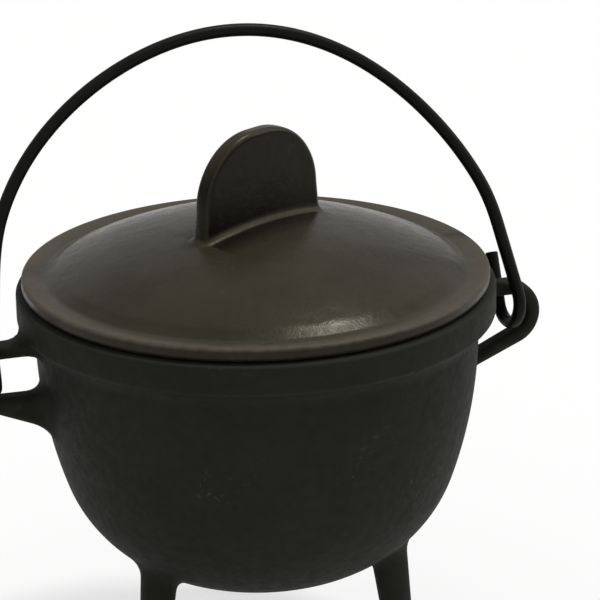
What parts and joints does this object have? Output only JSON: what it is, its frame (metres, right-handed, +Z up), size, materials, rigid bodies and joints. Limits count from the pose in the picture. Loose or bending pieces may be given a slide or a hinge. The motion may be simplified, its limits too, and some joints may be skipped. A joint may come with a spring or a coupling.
{
  "type": "cauldron",
  "caption": "Round-bottomed cast iron cooking pot on short legs, with a loose domed lid, an upright half-round lid grip and a hooped wire bail in side ears.",
  "frame": {"origin": "on the floor under the pot's axis, at the middle of the object's box", "axes": "+Z up, +X through the right ear seen from the front, the front of the pot faces -Y and the bail leans towards +Y"},
  "size_m": [0.2584, 0.2048, 0.2747],
  "materials": {
    "pot_iron": "sand-cast skin, seasoned to a dark semi-gloss",
    "lid_iron": "sand-cast skin, seasoned, rubbed lighter than the pot",
    "bail_wire": "round steel wire, blackened, slightly worn"
  },
  "bodies": {
    "pot": {"pot_bowl": "pot_iron", "ear_left": "pot_iron", "ear_right": "pot_iron", "leg_back": "pot_iron", "leg_front_left": "pot_iron", "leg_front_right": "pot_iron"},
    "lid": {"lid_cover": "lid_iron", "lid_grip": "lid_iron"},
    "bail": {"bail": "bail_wire"}
  },
  "joints": [
    {"name": "bail_swing", "type": "hinge", "parent": "pot", "child": "bail", "pos_m": [0, 0, 0.1561], "axis": [1, 0, 0], "range_deg": [-104, 148]},
    {"name": "lid_lift", "type": "slide", "parent": "pot", "child": "lid", "axis": [0, 0, 1], "range_m": [0, 0.028]}
  ]
}
